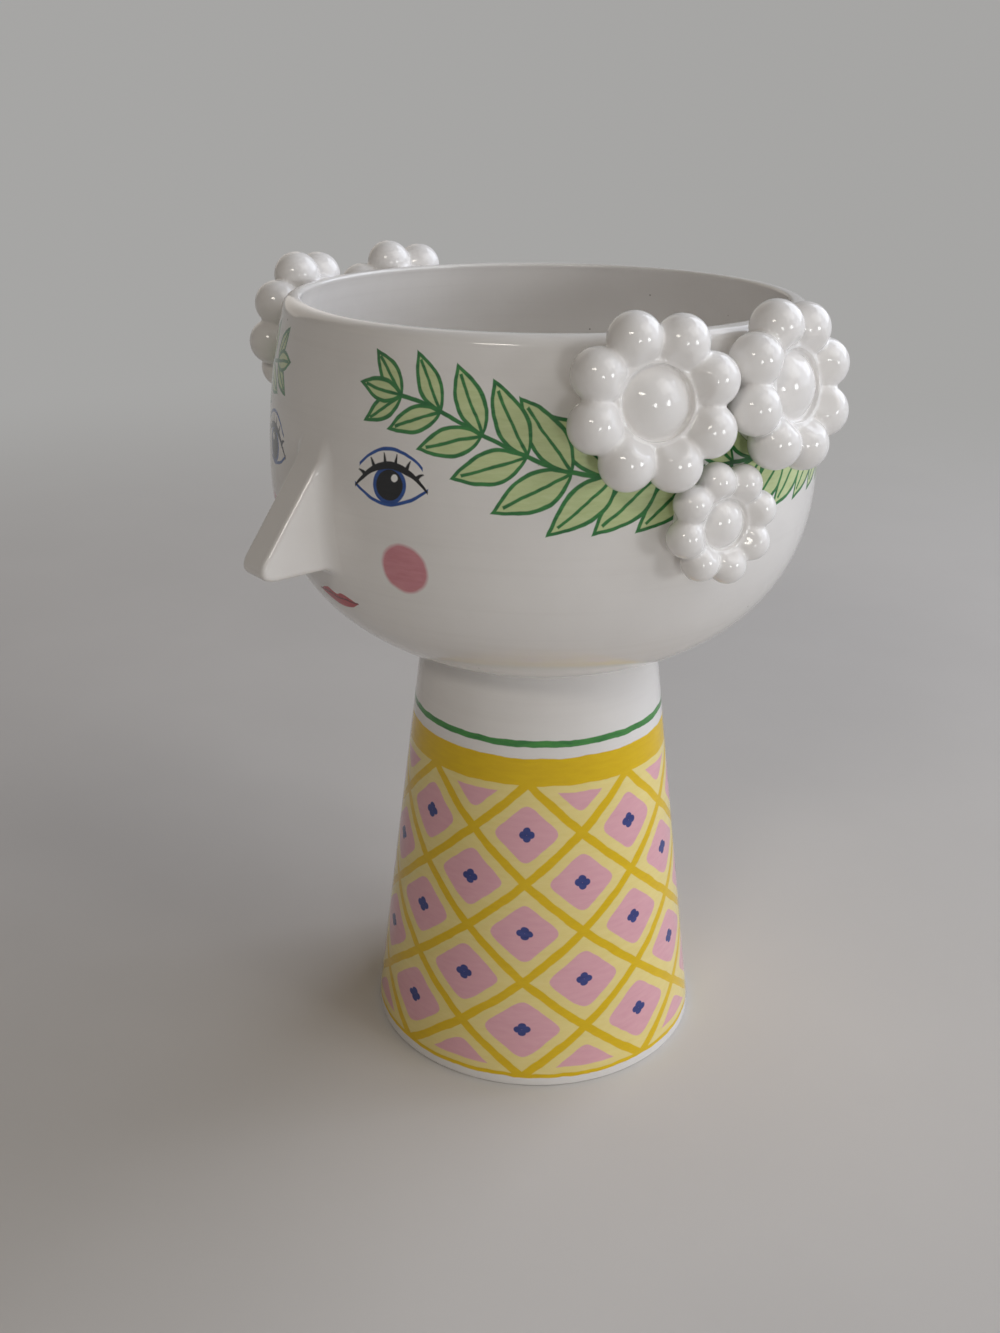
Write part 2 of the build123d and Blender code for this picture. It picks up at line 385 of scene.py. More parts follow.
def fill_valleys(mesh, steps, crisp_radius):
    """Moves the points of hollow creases outwards, as thick glaze pools there, and leaves the crowns."""
    count = len(mesh.vertices)
    spots = np.empty(count * 3)
    mesh.vertices.foreach_get("co", spots)
    spots = spots.reshape(count, 3)
    ends = np.empty(len(mesh.edges) * 2, dtype=np.int64)
    mesh.edges.foreach_get("vertices", ends)
    ends = ends.reshape(-1, 2)
    ways = np.bincount(ends.ravel(), minlength=count)[:, None]
    normals = np.empty(count * 3)
    filled = np.hypot(spots[:, 0], spots[:, 1]) > crisp_radius
    for _ in range(steps):
        mesh.vertices.foreach_get("normal", normals)
        sums = np.stack([np.bincount(ends[:, 0], spots[ends[:, 1], axis], count)
                         + np.bincount(ends[:, 1], spots[ends[:, 0], axis], count)
                         for axis in range(3)], axis=1)
        pull = sums / ways - spots
        hollow = (pull * normals.reshape(count, 3)).sum(axis=1) > 0
        spots += pull * (np.where(hollow, HOLLOW_PULL, CROWN_PULL) * filled)[:, None]
        mesh.vertices.foreach_set("co", spots.ravel())
        mesh.update()


print("valleys fill by", HOLLOW_PULL, "a step, crowns sink by", CROWN_PULL)

# %% [markdown]
# Beside each ear sit two large flowers, side by side, with a small one nestled below them. They touch, and
# the shares below 1 are what their balls give way. Each is placed by its azimuth and its rise above the
# belly, and leans as the wall does.

# %% Flower sizes and places, in millimetres
LARGE = {"ring": 20.4, "ball": 8.9, "lift": 9.7, "disc": 19.6, "edge": 9.0, "crest": 13.2,
         "crest_width": 1.0, "dish": 12.0, "depth": 2.0, "boss": 10.9, "boss_height": 5.8}
SMALL = {"ring": 14.7, "ball": 6.45, "lift": 6.85, "disc": 14.0, "edge": 6.5, "crest": 9.5,
         "crest_width": 0.8, "dish": 8.6, "depth": 1.4, "boss": 7.8, "boss_height": 4.2}
cluster_azimuth, upper_rise, lower_lean = 80.9, 42.2, 0.6
beside_share, below_share = 0.932, 0.958
large_outer, small_outer = LARGE["ring"] + LARGE["ball"], SMALL["ring"] + SMALL["ball"]
half_gap = beside_share * large_outer
spread = math.degrees(math.asin(half_gap / (wall_radius(upper_rise) + LARGE["lift"])))
lower_rise = upper_rise - math.sqrt((below_share * (large_outer + small_outer)) ** 2 - half_gap ** 2)
FLOWERS = {"front": (LARGE, cluster_azimuth - spread, upper_rise, -4.7),
           "rear": (LARGE, cluster_azimuth + spread, upper_rise, -8.5),
           "lower": (SMALL, cluster_azimuth - lower_lean, lower_rise, -10.7)}
print("upper flowers", round(2 * spread, 1), "degrees apart, lower one", round(lower_rise, 1), "mm up")


def flower_seat(azimuth, rise):
    """Matrix from a flower's own axes, its normal along Z, to its place on the wall, in metres."""
    way, lean = math.radians(azimuth), wall_turn(rise)
    outward = Vector((math.sin(way), -math.cos(way), 0))
    across = Vector((math.cos(way), math.sin(way), 0))
    normal = outward * math.cos(lean) + Vector((0, 0, math.sin(lean)))
    origin = (outward * wall_radius(rise) + Vector((0, 0, belly_height + rise))) * MM
    return Matrix.Translation(origin) @ Matrix((across, normal.cross(across), normal)).transposed().to_4x4()


# %% [markdown]
# A flower is made about its own axis first. Its disc is spun from a section with a crest round the dish,
# its balls are spheres whose inner side is pressed to a slope, and its dome is the cap of a larger sphere.
# Hands don't place balls evenly, so each one's angle, reach and size vary a little by a seeded draw.

# %% One flower
PETALS, PETAL_SLOPE, BROW = 8, math.radians(52), 0.06
ANGLE_DRAW, REACH_DRAW, SIZE_DRAW = (-0.9, 0.9), (-0.25, 0.15), (0.985, 1.02)
DISC_SINK, DOME_SINK = 1.5, 0.5


def press_to_slope(verts, size):
    """Lowers a ball's inner side to the slope between the crest and the ball's crown, with a soft brow."""
    soft = BROW * size["ring"]
    for vert in verts:
        reach, up = vert.co.xy.length / MM, vert.co.z / MM
        slope = size["crest"] + (reach - size["dish"] - size["crest_width"]) * math.tan(PETAL_SLOPE)
        blend = min(1.0, max(0.0, 0.5 + 0.5 * (slope - up) / soft))
        vert.co.z = (slope + (up - slope) * blend - soft * blend * (1 - blend)) * MM


def fill_flower(shape, size, spin, chance):
    """Disc, balls and dome of one flower, about its own axis, in metres."""
    dish_floor = size["crest"] - size["depth"]
    section = [(0, -DISC_SINK), (size["disc"], -DISC_SINK), (size["disc"], size["edge"]),
               (size["dish"] + size["crest_width"], size["crest"]), (size["dish"], size["crest"]),
               (size["dish"], dish_floor), (0, dish_floor)]
    verts = [shape.verts.new((radius * MM, 0, up * MM)) for radius, up in section]
    edges = [shape.edges.new(pair) for pair in zip(verts, verts[1:])]
    bmesh.ops.spin(shape, geom=verts + edges, cent=(0, 0, 0), axis=(0, 0, 1), angle=math.tau, steps=64,
                   use_merge=True, use_duplicate=False)
    dome = (size["boss"] ** 2 + size["boss_height"] ** 2) / (2 * size["boss_height"])
    middle = Matrix.Translation((0, 0, (dish_floor + size["boss_height"] - dome) * MM))
    for step in range(PETALS):
        angle = math.radians(spin + 360 / PETALS * (step + 0.5) + chance.uniform(*ANGLE_DRAW))
        reach = (size["ring"] + chance.uniform(*REACH_DRAW)) * MM
        spot = Vector((math.cos(angle) * reach, math.sin(angle) * reach, size["lift"] * MM))
        ball = bmesh.ops.create_uvsphere(shape, u_segments=48, v_segments=32,
                                         matrix=Matrix.Translation(spot),
                                         radius=size["ball"] * MM * chance.uniform(*SIZE_DRAW))
        press_to_slope(ball["verts"], size)
    globe = bmesh.ops.create_uvsphere(shape, u_segments=64, v_segments=48, matrix=middle,
                                      radius=dome * MM)["verts"]
    globe_edges = list({edge for vert in globe for edge in vert.link_edges})
    globe_faces = list({face for vert in globe for face in vert.link_faces})
    cut = bmesh.ops.bisect_plane(shape, geom=globe + globe_edges + globe_faces, clear_outer=True,
                                 plane_co=(0, 0, (dish_floor - DOME_SINK) * MM), plane_no=(0, 0, -1))
    rim_edges = [item for item in cut["geom_cut"] if isinstance(item, bmesh.types.BMEdge)]
    bmesh.ops.edgeloop_fill(shape, edges=rim_edges)
    bmesh.ops.remove_doubles(shape, verts=shape.verts, dist=1e-7)
    bmesh.ops.recalc_face_normals(shape, faces=shape.faces)


print("a flower has", PETALS, "balls")

# %% [markdown]
# The three flowers of the left side are mirrored to the right one. Each skin is remeshed at 0.4 mm, filled
# with glaze in its valleys and softened, but its crest and dish stay crisper, as the tool pressed them.

# %% Flowers
FLOWER_SEED, FLOWER_VOXEL, SOFTENING, FILLING, CRISP_MARGIN = 7, 0.4, 4, 24, 0.5
flowers = []
for side_number, (side_name, mirror) in enumerate((("left", 1), ("right", -1))):
    for place_number, (place_name, (size, azimuth, rise, spin)) in enumerate(FLOWERS.items()):
        chance = random.Random(FLOWER_SEED + 3 * side_number + place_number)
        name = f"{side_name}_{place_name}_flower_glazed"
        flower = one_skin(name, lambda shape: fill_flower(shape, size, mirror * spin, chance),
                          FLOWER_VOXEL * MM, SOFTENING, FILLING,
                          (size["dish"] + size["crest_width"] + CRISP_MARGIN) * MM)
        flower.data.transform(flower_seat(mirror * azimuth, rise))
        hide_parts(*[f"{side_name}_{place_name}_flower_{part}"
                              for part in ("disc", "petals", "boss")])
        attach(flower, "root")
        flowers.append(flower)
        print(name, len(flower.data.polygons), "faces")

# %% [markdown]
# The nose is a wedge cut from a slab of clay and stuck on with slip. Its edges were wiped round, and glaze
# fills the corner between it and the wall. It is bevelled, remeshed finely, and then its foot is flared:
# near the wall each point moves away from the nose's core, by what a round of that radius needs there.

# %% Nose
nose_reach, nose_root_rise, nose_base_drop, nose_width = 29.5, 19.6, 23.2, 14.4
nose_tip_round, nose_edge_round, nose_foot_round = 5.0, 2.0, 4.6
NOSE_VOXEL, NOSE_SOFTENING = 0.3, 3
wall_line = bowl_flank(0, side_rise, steps=60)


def outer_radius(height):
    """Radius of the bowl's outside at a height, read from its outline."""
    for (low_radius, low), (high_radius, high) in zip(wall_line, wall_line[1:]):
        if low <= height <= high:
            return low_radius + (high_radius - low_radius) * (height - low) / (high - low)
    return wall_line[-1][0] if height > wall_line[-1][1] else wall_line[0][0]


def fill_nose(shape):
    """Wedge with a flat underside, its long edges rounded, in metres."""
    root = Vector((wall_radius(nose_root_rise), belly_height + nose_root_rise))
    tip = Vector((belly_radius + nose_reach, belly_height - nose_base_drop))
    inner = root + (root - tip).normalized() * bowl_wall
    corners = [inner, tip, Vector((inner.x, tip.y))]
    verts = [shape.verts.new((-nose_width / 2 * MM, -out * MM, up * MM)) for out, up in corners]
    flank = shape.faces.new(verts)
    made = bmesh.ops.extrude_face_region(shape, geom=[flank])["geom"]
    moved = [item for item in made if isinstance(item, bmesh.types.BMVert)]
    bmesh.ops.translate(shape, verts=moved, vec=(nose_width * MM, 0, 0))
    bmesh.ops.recalc_face_normals(shape, faces=shape.faces)
    tip_edge = [edge for edge in shape.edges if all(vert.co.y < -tip.x * MM + 1e-6 for vert in edge.verts)]
    half_angle = (tip - root).angle(Vector((1, 0))) / 2
    bmesh.ops.bevel(shape, geom=tip_edge, offset=nose_tip_round / math.tan(half_angle) * MM, segments=10,
                    profile=0.5, affect="EDGES", offset_type="OFFSET", material=-1)
    long_edges = [edge for edge in shape.edges
                  if abs(edge.verts[0].co.x - edge.verts[1].co.x) < 1e-7
                  and min(vert.co.y for vert in edge.verts) < -(inner.x + 0.5) * MM]
    bmesh.ops.bevel(shape, geom=long_edges, offset=nose_edge_round * MM, segments=6, profile=0.5,
                    affect="EDGES", offset_type="OFFSET", material=-1)


def flare_foot(mesh):
    """Rounds the corner between the nose and the wall, and shades it as that round.

    A point near the wall moves along the wall, away from the nose's core, and keeps its gap to the wall.
    """
    core_width = nose_width / 2 - nose_edge_round
    core_low = belly_height - nose_base_drop + nose_edge_round
    core_high = belly_height + nose_root_rise - 2 * nose_edge_round
    normals = [vert.normal.copy() for vert in mesh.vertices]
    for vert in mesh.vertices:
        spot = vert.co / MM
        gap = math.hypot(spot.x, spot.y) - outer_radius(spot.z)
        if gap < nose_foot_round:
            core = Vector((max(-core_width, min(core_width, spot.x)),
                           max(core_low, min(core_high, spot.z))))
            away = (spot.xz - core).normalized()
            left = nose_foot_round - max(0.0, gap)
            push = nose_foot_round - math.sqrt(nose_foot_round ** 2 - left ** 2)
            across, up = spot.xz + away * push
            reach = outer_radius(up) + gap
            front = -math.sqrt(reach ** 2 - across ** 2)
            vert.co = Vector((across, front, up)) * MM
            fall = outer_radius(up + 0.5) - outer_radius(up - 0.5)
            outward = Vector((across, front, 0)).normalized()
            wall = (outward - Vector((0, 0, fall))).normalized()
            share = left / nose_foot_round
            own = normals[vert.index] if gap > 0 else wall
            normals[vert.index] = (wall * share + own * math.sqrt(1 - share ** 2)).normalized()
    mesh.normals_split_custom_set_from_vertices(normals)


nose = one_skin("nose_glazed", fill_nose, NOSE_VOXEL * MM, NOSE_SOFTENING)
flare_foot(nose.data)
print("nose points", len(nose.data.vertices))
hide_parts("nose")
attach(nose, "root")

# %% [markdown]
# All of the vase is glazed earthenware: white clay, painted with ceramic colours, under a clear gloss
# glaze of IOR 1.52 that ran smooth in the kiln. That gives the eye a soft white body with sharp
# reflections on it. What breaks the perfection is small: the white is a little uneven, turning left faint
# level lines, and a few dark specks of iron show. Patterns are counted over 100 mm of the vase: 3 clouds,
# 30 level lines and 7.5 cells, of which two in five hold a speck.

# %% White clay
CLOUDS, LEVEL_LINES, SPECK_CELLS = 3 / 100, 30 / 100, 7.5 / 100
# The flowers' whites are lighter than the rest of the ware's, though they are the same clay under the same
# glaze: painted light, for the brighter light that the flowers catch.
WARE_WHITES, FLOWER_WHITES_PAINTED_LIGHTER = ("#E3E0DD", "#EFEDEA"), ("#ECEAE8", "#F6F4F2")
LINE_TONE, LEVEL_STRETCH, LINE_FROM, LINE_TO, LINE_COVER = "#C9C4BE", (0.02, 0.02, 1.0), 0.50, 0.72, 0.08
IRON, SPECK_CORE, SPECK_EDGE, SPECK_COVER, BARE_CELLS = "#6E655C", 0.022, 0.038, 0.75, 0.62


def new_glaze(name):
    """Empty node material, its tree, and the place on the surface in millimetres."""
    material = bpy.data.materials.new(name)
    material.use_nodes = True
    tree = material.node_tree
    tree.nodes.clear()
    place = add(tree, "TexCoord", out="Object")
    return material, tree, add(tree, "VectorMath SCALE", place, named={"Scale": METRE})


def white_ware(tree, spot, lines=0.0, whites=WARE_WHITES):
    """White of the glazed clay, with its clouds, the level lines of turning and iron specks."""
    cloud = add(tree, "TexNoise", spot, None, CLOUDS, 3.0, 0.55)
    white = add(tree, "Mix", cloud, named={UNDER: linear(whites[0]), OVER: linear(whites[1])}, **AS_COLOUR)
    if lines:
        level_only = add(tree, "VectorMath MULTIPLY", spot, LEVEL_STRETCH)
        turning = add(tree, "TexNoise", level_only, None, LEVEL_LINES, 2.0, 0.6)
        faint = add(tree, "MapRange", turning, LINE_FROM, LINE_TO, 0.0, lines)
        white = add(tree, "Mix", faint, named={UNDER: white, OVER: linear(LINE_TONE)}, **AS_COLOUR)
    speck = add(tree, "TexVoronoi", spot, None, SPECK_CELLS)
    cell = add(tree, "SeparateColor", speck.node.outputs["Color"])
    chosen = add(tree, "Math GREATER_THAN", cell, BARE_CELLS)
    dark = add(tree, "MapRange", speck, SPECK_CORE, SPECK_EDGE, SPECK_COVER, 0.0)
    amount = add(tree, "Math MULTIPLY", chosen, dark)
    return add(tree, "Mix", amount, named={UNDER: white, OVER: linear(IRON)}, **AS_COLOUR)


print("iron specks are", round(2 * SPECK_CORE / SPECK_CELLS, 2), "mm across and fade out beyond")

# %% [markdown]
# The glaze itself is the shader's gloss. It lies in a very low swell, ten waves to 100 mm, with a fine
# orange peel of 90 dimples to 100 mm. Both only bend the reflections, so they are bump. The thick glaze of
# the flowers shines most, and that of the nose, which ran off its edges, a little less.

# %% Clear gloss glaze, and the white pieces
SWELLS, PEEL, PEEL_SHARE = 10 / 100, 90 / 100, 0.05
GLAZE_IOR, SWELL_DEPTH, SWELL_STRENGTH = 1.52, 0.22 * MM, 0.35
FLOWER_ROUGHNESS, NOSE_ROUGHNESS, PAINTED_ROUGHNESS = 0.04, 0.07, 0.06


def glaze_over(tree, spot, colour, roughness):
    """Clear gloss glaze over a colour, with a low swell and a finer orange peel."""
    swell = add(tree, "TexNoise", spot, None, SWELLS, 2.0)
    peel = add(tree, "TexNoise", spot, None, PEEL, 1.0)
    height = add(tree, "Math MULTIPLY_ADD", peel, PEEL_SHARE, swell)
    normal = add(tree, "Bump", SWELL_STRENGTH, named={"Distance": SWELL_DEPTH, "Height": height})
    surface = {"Base Color": colour, "Roughness": roughness, "IOR": GLAZE_IOR, "Normal": normal}
    add(tree, "OutputMaterial", add(tree, "BsdfPrincipled", named=surface))


# The flowers get the lighter whites, which are painted light rather than a whiter clay.
flower_glaze, tree, spot = new_glaze("white_glaze_painted_lighter_on_flowers")
glaze_over(tree, spot, white_ware(tree, spot, whites=FLOWER_WHITES_PAINTED_LIGHTER), FLOWER_ROUGHNESS)
for flower in flowers:
    flower.data.materials.append(flower_glaze)

nose_glaze, tree, spot = new_glaze("white_glaze_on_nose")
glaze_over(tree, spot, white_ware(tree, spot), NOSE_ROUGHNESS)
nose.data.materials.append(nose_glaze)
print("plain glazes:", flower_glaze.name, nose_glaze.name)

# %% [markdown]
# The painting lies under the glaze. Ceramic colour goes on with a brush, so an edge wavers by a few tenths
# of a millimetre and the colour is thinner in places. Every shape below is worked out as a distance in
# millimetres inside its edge, and one function turns that into a layer of paint. A paint is two colours,
# where it lies thin and where it lies thick.

# %% How paint is laid
WAVERS, WAVER_REACH, EDGE_SOFTNESS, ALL_OVER = 11 / 100, 1.5, 0.3, 100.0
BRUSH_STRETCH, BRUSH_THIN, BRUSH_THICK = (0.12, 0.55, 1.0), 0.3, 0.7


def wavering(tree, spot):
    """Coordinates shifted a little, as an edge drawn by hand wavers."""
    waver = add(tree, "TexNoise", spot, None, WAVERS, 2.0, out="Color")
    centred = add(tree, "VectorMath SUBTRACT", waver, (0.5, 0.5, 0.5))
    return add(tree, "VectorMath MULTIPLY_ADD", centred, (WAVER_REACH,) * 3, spot)


def round_the_wall(tree, spot, radius):
    """Millimetres round the wall from the nose, at a radius, and millimetres up."""
    axes = add(tree, "SeparateXYZ", spot).node
    front = add(tree, "Math MULTIPLY", axes.outputs["Y"], -1.0)
    angle = add(tree, "Math ARCTAN2", axes.outputs["X"], front)
    return add(tree, "Math MULTIPLY", angle, radius), axes.outputs["Z"]


def outer_side(tree, spot):
    """1 where the wall faces away from the axis, 0 inside and underneath."""
    away = add(tree, "VectorMath MULTIPLY", spot, (1.0, 1.0, 0.0))
    normal = add(tree, "NewGeometry", out="Normal")
    facing = add(tree, "VectorMath DOT_PRODUCT", normal, away, out="Value")
    return add(tree, "Math GREATER_THAN", facing, 0.0)


def lay_paint(tree, ground, depth, paint, brush, edge=EDGE_SOFTNESS):
    """Ground with a paint over it where depth, in millimetres inside the shape's edge, is above zero."""
    thin, thick = [linear(colour) for colour in paint]
    colour = add(tree, "Mix", brush, named={UNDER: thin, OVER: thick}, **AS_COLOUR)
    cover = add(tree, "MapRange", depth, -edge / 2, edge / 2, 0.0, 1.0)
    return add(tree, "Mix", cover, named={UNDER: ground, OVER: colour}, **AS_COLOUR)


def from_point(tree, across, over, place):
    """Distance of a point on the wall from a place on it."""
    point = add(tree, "CombineXYZ", across, over)
    return add(tree, "VectorMath DISTANCE", point, (*place, 0.0), out="Value")


def line_along(tree, half_width, off_line, limit=ALL_OVER):
    """Millimetres inside a line of some half width, which ends where limit falls below zero."""
    beside = add(tree, "Math ABSOLUTE", off_line)
    line = add(tree, "Math SUBTRACT", half_width, beside)
    return add(tree, "Math MINIMUM", line, limit)


def brush_marks(tree, along, up):
    """Thickness of the paint from 0 to 1, in streaks along the brush's way round the wall."""
    place = add(tree, "CombineXYZ", along, up)
    streaks = add(tree, "VectorMath MULTIPLY", place, BRUSH_STRETCH)
    marks = add(tree, "TexNoise", streaks, None, 1.0, 3.0, 0.6)
    return add(tree, "MapRange", marks, BRUSH_THIN, BRUSH_THICK, 0.0, 1.0)


print("brush streaks are", [round(1 / share, 1) for share in BRUSH_STRETCH[:2]], "mm long and wide")

# %% [markdown]
# The pedestal carries a diamond trellis, one of the oldest patterns on pottery: eight diamonds round,
# mustard lines with a pale yellow border, a soft-cornered pink field in each and a small blue quatrefoil
# on it. A diamond grid is a square grid seen along its diagonals, so the sum and the difference of "how
# far round" and "how far up" are whole numbers on its lines.

# %% Diamond grid
DIAMONDS, DIAMOND_HEIGHT, TRELLIS_LOW, TRELLIS_HIGH = 8, 41.0, 4.0, 127.0


def diamond_grid(tree, angle, up, wall):
    """How far a point is from its diamond's middle, towards two sides, and how far those sides are."""
    turns = add(tree, "Math MULTIPLY", angle, DIAMONDS / math.tau)
    rows = add(tree, "Math MULTIPLY_ADD", up, 1 / DIAMOND_HEIGHT, -TRELLIS_LOW / DIAMOND_HEIGHT)
    broad = add(tree, "Math MULTIPLY", wall, math.tau / DIAMONDS)
    squares = add(tree, "Math MULTIPLY_ADD", broad, broad, DIAMOND_HEIGHT ** 2)
    diagonal = add(tree, "Math SQRT", squares)
    area = add(tree, "Math MULTIPLY", broad, DIAMOND_HEIGHT)
    line_gap = add(tree, "Math DIVIDE", area, diagonal)
    across = []
    for way in ("Math ADD", "Math SUBTRACT"):
        part = add(tree, "Math FRACT", add(tree, way, turns, rows))
        part = add(tree, "Math SUBTRACT", part, 0.5)
        part = add(tree, "Math ABSOLUTE", part)
        across.append(add(tree, "Math MULTIPLY", part, line_gap))
    return across, add(tree, "Math MULTIPLY", line_gap, 0.5)


print("rows of diamonds:", (TRELLIS_HIGH - TRELLIS_LOW) / DIAMOND_HEIGHT)

# %% [markdown]
# The trellis is laid in a painter's order: pale yellow all over, pink fields, blue dots, mustard lines.
# The dots keep a quarter of a diamond away from the trellis's ends. The level bands have a lower edge, a
# width and a paint.

# %% Pedestal's paint
LINE, BORDER, SOFT_CORNER = 3.4, 3.8, 6.0
LOBE_PLACE, LOBE_RADIUS, BAND_EDGE = 1.1, 1.55, 0.15
MUSTARD, PALE_YELLOW, PINK = ("#E6C103", "#DFB800"), ("#F1DF95", "#ECD98A"), ("#E7B1BA", "#E1A8B3")
DOT_BLUE, BAND_GREEN = ("#3F4B8E", "#303A7A"), ("#4F9A4A", "#347A40")
LEVEL_BANDS = ((3.6, 1.6, MUSTARD), (126.2, 11.0, MUSTARD), (141.6, 2.6, BAND_GREEN))


def trellis_paint(tree, spot, ground):
    """Colour of the pedestal's painting."""
    angle, up = round_the_wall(tree, wavering(tree, spot), 1.0)
    wall = add(tree, "MapRange", up, 0.0, pedestal_height, foot_radius, neck_radius)
    brush = brush_marks(tree, add(tree, "Math MULTIPLY", angle, wall), up)
    across, side = diamond_grid(tree, angle, up, wall)
    to_line = add(tree, "Math SUBTRACT", side, add(tree, "Math MAXIMUM", *across))
    line = add(tree, "Math SUBTRACT", LINE / 2, to_line)
    above_low = add(tree, "Math SUBTRACT", up, TRELLIS_LOW)
    below_high = add(tree, "Math SUBTRACT", TRELLIS_HIGH, up)
    within = add(tree, "Math MINIMUM", above_low, below_high)
    powers = [add(tree, "Math POWER", length, SOFT_CORNER) for length in across]
    rounded = add(tree, "Math POWER", add(tree, "Math ADD", *powers), 1 / SOFT_CORNER)
    field = add(tree, "Math SUBTRACT", add(tree, "Math SUBTRACT", side, LINE / 2 + BORDER), rounded)
    field = add(tree, "Math MINIMUM", field, add(tree, "Math SUBTRACT", within, BORDER))
    lobe = from_point(tree, *across, (LOBE_PLACE, LOBE_PLACE))
    dot_end = add(tree, "Math SUBTRACT", within, DIAMOND_HEIGHT / 4)
    dot = add(tree, "Math MINIMUM", add(tree, "Math SUBTRACT", LOBE_RADIUS, lobe), dot_end)
    paint = ground
    for depth, colours in ((ALL_OVER, PALE_YELLOW), (field, PINK), (dot, DOT_BLUE), (line, MUSTARD)):
        paint = lay_paint(tree, paint, depth, colours, brush)
    keep = add(tree, "MapRange", within, -BAND_EDGE, BAND_EDGE, 0.0, 1.0)
    paint = add(tree, "Mix", keep, named={UNDER: ground, OVER: paint}, **AS_COLOUR)
    for low, broad, colours in LEVEL_BANDS:
        band = line_along(tree, broad / 2, add(tree, "Math SUBTRACT", up, low + broad / 2))
        paint = lay_paint(tree, paint, band, colours, brush)
    return paint


pedestal_glaze, tree, spot = new_glaze("painted_glaze_on_pedestal")
ware = white_ware(tree, spot, LINE_COVER)
painted = trellis_paint(tree, spot, ware)
colour = add(tree, "Mix", outer_side(tree, spot), named={UNDER: ware, OVER: painted}, **AS_COLOUR)
glaze_over(tree, spot, colour, PAINTED_ROUGHNESS)
pedestal.data.materials.append(pedestal_glaze)
print("pedestal paint nodes:", len(tree.nodes))

# %% [markdown]
# The hair is a laurel wreath, as on old coins and plates: pairs of leaves along a stem that runs from the
# forehead over the ears to the back, the leaves small in front and full-grown behind. A leaf is a half
# wave on both sides of its rib, broadest a little before its middle.

# %% Stem and leaf
STEM_FALL, LEAF_GROWTH = (34.0, 108.0, 285.0, 262.0), (34.0, 100.0, 0.56, 1.0)
LEAF_LENGTH, LEAF_HALF_WIDTH, LEAF_BELLY = 30.0, 6.6, 0.82
RIB_HALF_WIDTH, RIB_SHARE = 0.55, 0.84


def stem_height(tree, along):
    """Height of the wreath's stem, which falls from 285 mm on the forehead to 262 mm at the ear."""
    return add(tree, "MapRange", along, *STEM_FALL, interpolation_type="SMOOTHSTEP")


def leaf_depths(tree, forward, outward, length, half_width):
    """Millimetres inside the edge of a leaf and inside its rib."""
    share = add(tree, "Math DIVIDE", forward, length, use_clamp=True)
    share = add(tree, "Math POWER", share, LEAF_BELLY)
    swell = add(tree, "Math SINE", add(tree, "Math MULTIPLY", share, math.pi))
    breadth = add(tree, "Math MULTIPLY", swell, half_width)
    before_tip = add(tree, "Math SUBTRACT", length, forward)
    before_end = add(tree, "Math SUBTRACT", add(tree, "Math MULTIPLY", length, RIB_SHARE), forward)
    return (line_along(tree, breadth, outward, add(tree, "Math MINIMUM", forward, before_tip)),
            line_along(tree, RIB_HALF_WIDTH, outward, add(tree, "Math MINIMUM", forward, before_end)))


def leaf_axes(tree, along, up, base, angle):
    """Millimetres along and across the nearer leaf of the pair that grows from a place on the stem."""
    base_up = stem_height(tree, base)
    before_up = stem_height(tree, add(tree, "Math SUBTRACT", base, 1.0))
    fall = add(tree, "Math SUBTRACT", base_up, before_up)
    tilt = add(tree, "Math ARCTAN2", fall, 1.0)
    offset = add(tree, "CombineXYZ", add(tree, "Math SUBTRACT", base, along),
                 add(tree, "Math SUBTRACT", up, base_up))
    level = add(tree, "VectorRotate", offset, named={"Angle": tilt}, rotation_type="Z_AXIS")
    axes = add(tree, "SeparateXYZ", level).node
    folded = add(tree, "CombineXYZ", axes.outputs["X"], add(tree, "Math ABSOLUTE", axes.outputs["Y"]))
    leaf = add(tree, "VectorRotate", folded, named={"Angle": -angle}, rotation_type="Z_AXIS")
    axes = add(tree, "SeparateXYZ", leaf).node
    return axes.outputs["X"], axes.outputs["Y"]


print("a full-grown leaf is", LEAF_LENGTH, "by", 2 * LEAF_HALF_WIDTH, "mm")

# %% [markdown]
# Each leaf has a dark green edge and rib and a pale green inside. Any point of the wall can lie on three
# pairs at most, so those three are drawn, the foremost pair last, and then the one leaf that starts the
# wreath. A rosette covers the place behind the head where its two halves meet.

# %% Wreath
WREATH_START, LEAF_STEP, LEAF_ANGLE, CELL_SHIFT = 40.0, 14.5, math.radians(41), 0.22
STEM_HALF_WIDTH, LEAF_EDGE, LAST_PAIR, ROSETTE, ROSETTE_EYE = 0.75, 1.35, 19.0, 7.0, 2.6
PALE_GREEN, DARK_GREEN = ("#CEDBA6", "#C0D096"), ("#3F8C47", "#25693A")


